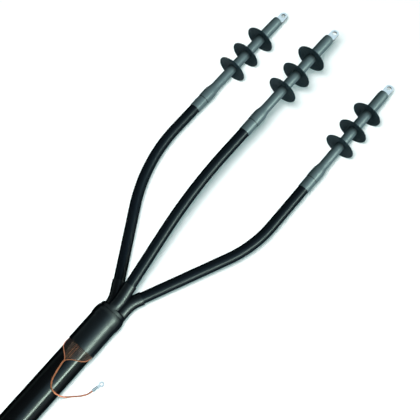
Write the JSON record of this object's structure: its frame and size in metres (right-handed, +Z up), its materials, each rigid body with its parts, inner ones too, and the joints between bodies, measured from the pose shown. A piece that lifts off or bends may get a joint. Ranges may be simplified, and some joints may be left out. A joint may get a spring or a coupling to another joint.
{
  "type": "cable termination",
  "caption": "Outdoor medium-voltage cable termination: a breakout boot splits a sheathed cable into shrouded cores that end in grey tubes with rain sheds and bolted lugs.",
  "frame": {"origin": "on the floor under the middle of the outline, cable and lugs included, earth pigtail left out", "axes": "+Y along the cable towards the lugs, +X to the right phase, +Z up"},
  "size_m": [0.482, 1.4486, 0.166],
  "materials": {
    "sheath": "smooth black jacket with a sharp highlight",
    "bedding": "matt dark grey filler",
    "screen_copper": "fine bare copper wires",
    "bare_copper": "stranded bare copper",
    "copper": "stranded copper conductor",
    "boot": "satin black shrunk moulding",
    "insulation": "pale cross-linked insulation",
    "semiconductor": "matt black",
    "black_tube": "satin black shrunk tube",
    "grey_tube": "satin blue-grey anti-tracking tube",
    "shed": "dark grey moulded shed",
    "mastic": "soft sealant",
    "tinned_metal": "bright tinned lug"
  },
  "bodies": {
    "root": {"oversheath": "sheath", "bedding": "bedding", "screen_wires": "screen_copper", "breakout_boot": "boot", "gathering_strands": "bare_copper", "earth_pigtail": "bare_copper", "earth_lug": "tinned_metal", "left_conductor": "copper", "left_insulation": "insulation", "left_insulation_screen": "semiconductor", "left_core_tube": "black_tube", "left_sealing_sleeve": "grey_tube", "left_stress_control_tube": "semiconductor", "left_tracking_tube": "grey_tube", "left_shed_1": "shed", "left_shed_2": "shed", "left_shed_3": "shed", "left_lug_sealant": "mastic", "left_lug": "tinned_metal", "middle_conductor": "copper", "middle_insulation": "insulation", "middle_insulation_screen": "semiconductor", "middle_core_tube": "black_tube", "middle_sealing_sleeve": "grey_tube", "middle_stress_control_tube": "semiconductor", "middle_tracking_tube": "grey_tube", "middle_shed_1": "shed", "middle_shed_2": "shed", "middle_shed_3": "shed", "middle_lug_sealant": "mastic", "middle_lug": "tinned_metal", "right_conductor": "copper", "right_insulation": "insulation", "right_insulation_screen": "semiconductor", "right_core_tube": "black_tube", "right_sealing_sleeve": "grey_tube", "right_stress_control_tube": "semiconductor", "right_tracking_tube": "grey_tube", "right_shed_1": "shed", "right_shed_2": "shed", "right_shed_3": "shed", "right_lug_sealant": "mastic", "right_lug": "tinned_metal"}
  },
  "joints": []
}
